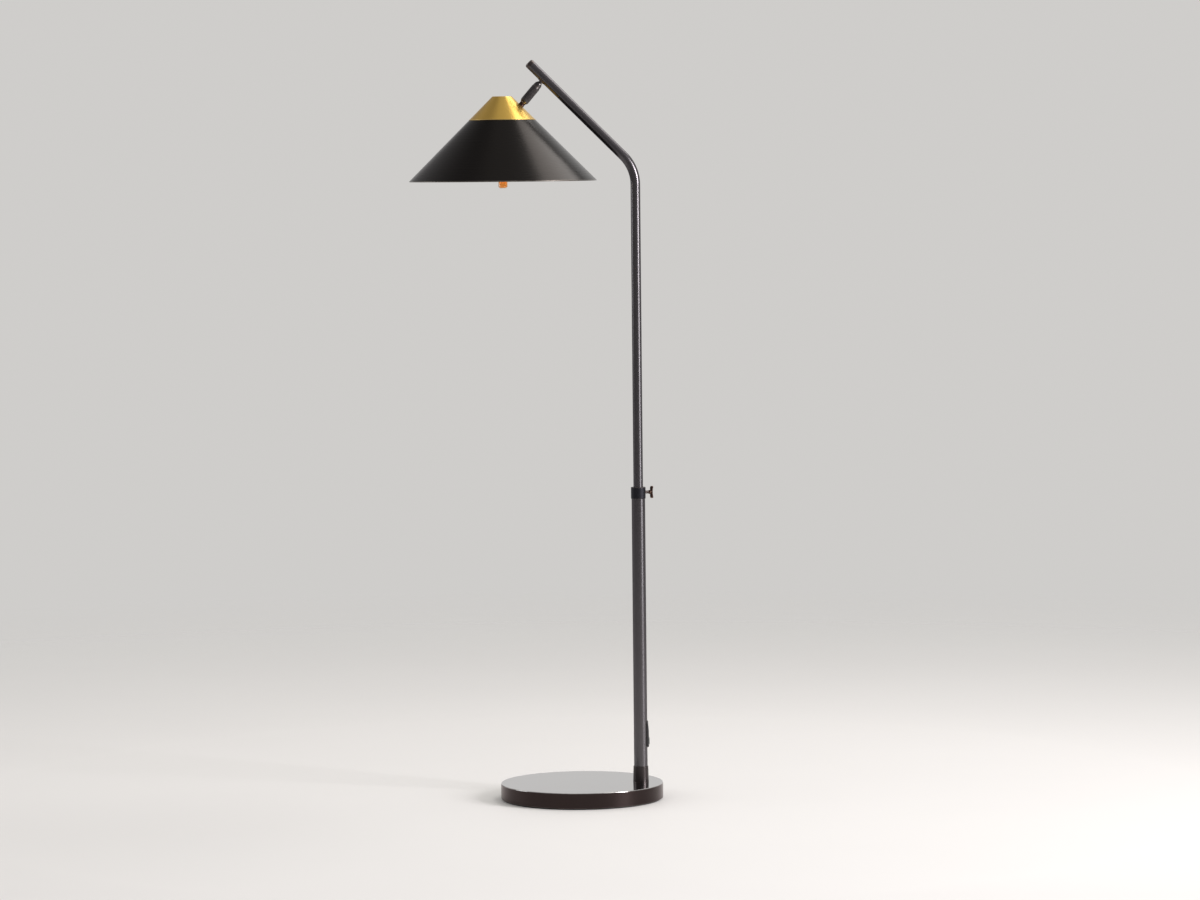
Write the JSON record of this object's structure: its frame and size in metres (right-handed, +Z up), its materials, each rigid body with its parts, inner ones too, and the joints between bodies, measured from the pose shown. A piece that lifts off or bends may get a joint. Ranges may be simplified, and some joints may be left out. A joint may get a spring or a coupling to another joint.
{
  "type": "adjustable arm floor lamp",
  "caption": "Floor lamp with a round weighted base, a telescoping bent pole and a cone shade with a brass cap on a ball swivel.",
  "frame": {"origin": "on the floor, at the centre of the round base's underside", "axes": "+Z up; the pole stands off-centre towards +X and the arm reaches back over the base towards -X"},
  "size_m": [0.4635, 0.35, 1.387],
  "materials": {
    "dark_bronze": "dark oil-rubbed bronze finish on steel, satin with soft wear on the edges",
    "shade_bronze": "spun aluminium with the same dark bronze finish, faint turning rings",
    "brown_bronze": "warmer brown bronze finish on turned steel",
    "polished_ball": "polished dark bronze on a turned steel ball",
    "satin_brass": "spun satin brass, brushed in rings round the axis",
    "plain_brass": "plain turned or drawn brass",
    "zinc_steel": "zinc plated steel, semi-bright",
    "raw_iron": "sand cast iron with black stove paint",
    "felt_pad": "dense black foam pad, matt",
    "black_plastic": "moulded black plastic with a fine grain",
    "black_screw": "black oxide steel screws",
    "nylon": "natural white nylon, machined",
    "phenolic": "black phenolic moulding with a low gloss",
    "lead_insulation": "glass braided lead insulation",
    "bulb_nickel": "nickel plated screw cap",
    "bulb_insulator": "black vitrite insulator with a tinned contact",
    "amber_glass": "amber tinted tubular glass",
    "clear_glass": "clear pressed glass stem",
    "filament": "coated filament strips, faintly glowing"
  },
  "bodies": {
    "stand": {"base_pad": "felt_pad", "base_plate": "zinc_steel", "base_plate_screws": "zinc_steel", "base_weight": "raw_iron", "base_cover": "dark_bronze", "inlet_grommet": "black_plastic", "base_nipple": "zinc_steel", "base_washer": "zinc_steel", "base_nut": "zinc_steel", "tube_foot_plug": "zinc_steel", "pole_sleeve": "dark_bronze", "lower_tube": "dark_bronze", "dimmer_module": "black_plastic", "dimmer_bezel": "black_plastic", "dimmer_screws": "black_screw", "lock_collar": "dark_bronze", "collar_bush": "nylon"},
    "dimmer_thumb": {"dimmer_slider": "black_plastic"},
    "clamp": {"clamp_pad": "plain_brass"},
    "thumbscrew": {"thumbscrew_stud": "dark_bronze", "thumbscrew_wing": "dark_bronze"},
    "carriage": {"guide_bush": "nylon"},
    "upper_pole": {"foot_ring": "nylon", "stop_ring": "zinc_steel", "upper_tube": "dark_bronze", "arm_end_cap": "dark_bronze", "joint_boss": "dark_bronze"},
    "ball": {"stem_washer": "zinc_steel", "stem_nut": "zinc_steel", "swivel_ball": "polished_ball"},
    "barrel": {"swivel_cup": "dark_bronze", "reeded_barrel": "dark_bronze", "ball_seat": "nylon", "disc_springs": "zinc_steel", "spring_sleeve": "zinc_steel"},
    "head": {"swivel_neck": "brown_bronze", "neck_washer": "zinc_steel", "neck_nut": "zinc_steel", "brass_cap": "satin_brass", "cap_lugs": "plain_brass", "shade": "shade_bronze", "shade_screws": "black_screw", "carrier_plate": "zinc_steel", "socket_nipple": "zinc_steel", "socket_nut": "zinc_steel", "lamp_socket": "phenolic", "socket_shell": "plain_brass", "socket_contact": "plain_brass", "socket_terminals": "plain_brass", "socket_leads": "lead_insulation", "bulb_base": "bulb_nickel", "bulb_contact": "bulb_insulator", "bulb_glass": "amber_glass", "bulb_stem": "clear_glass", "bulb_filaments": "filament"}
  },
  "joints": [
    {"name": "dimmer_slide", "type": "slide", "parent": "stand", "child": "dimmer_thumb", "axis": [0, 0, 1], "range_m": [0, 0.016]},
    {"name": "clamp_slide", "type": "slide", "parent": "stand", "child": "clamp", "axis": [1, 0, 0], "range_m": [0, 0.0016]},
    {"name": "thumbscrew_turn", "type": "hinge", "parent": "clamp", "child": "thumbscrew", "pos_m": [0.111, 0, 0.5775], "axis": [1, 0, 0], "range_deg": [0, 540]},
    {"name": "height_slide", "type": "slide", "parent": "stand", "child": "carriage", "axis": [0, 0, 1], "range_m": [-0.2, 0.15]},
    {"name": "pole_swivel", "type": "hinge", "parent": "carriage", "child": "upper_pole", "pos_m": [0.111, 0, 0.5775], "axis": [0, 0, 1], "range_deg": [-175, 175]},
    {"name": "head_swing", "type": "hinge", "parent": "upper_pole", "child": "ball", "pos_m": [-0.06788, 0, 1.34124], "axis": [-0.7071, 0, -0.7071], "range_deg": [-170, 170]},
    {"name": "head_tilt", "type": "hinge", "parent": "ball", "child": "barrel", "pos_m": [-0.06788, 0, 1.34124], "axis": [0, 1, 0], "range_deg": [-12, 35]},
    {"name": "head_turn", "type": "hinge", "parent": "barrel", "child": "head", "pos_m": [-0.06788, 0, 1.34124], "axis": [-0.6494, 0, -0.7604], "range_deg": [-90, 90]}
  ],
  "couplings": [
    {"joint": "clamp_slide", "follows": "thumbscrew_turn", "m_per_rad": 0.00015915}
  ]
}
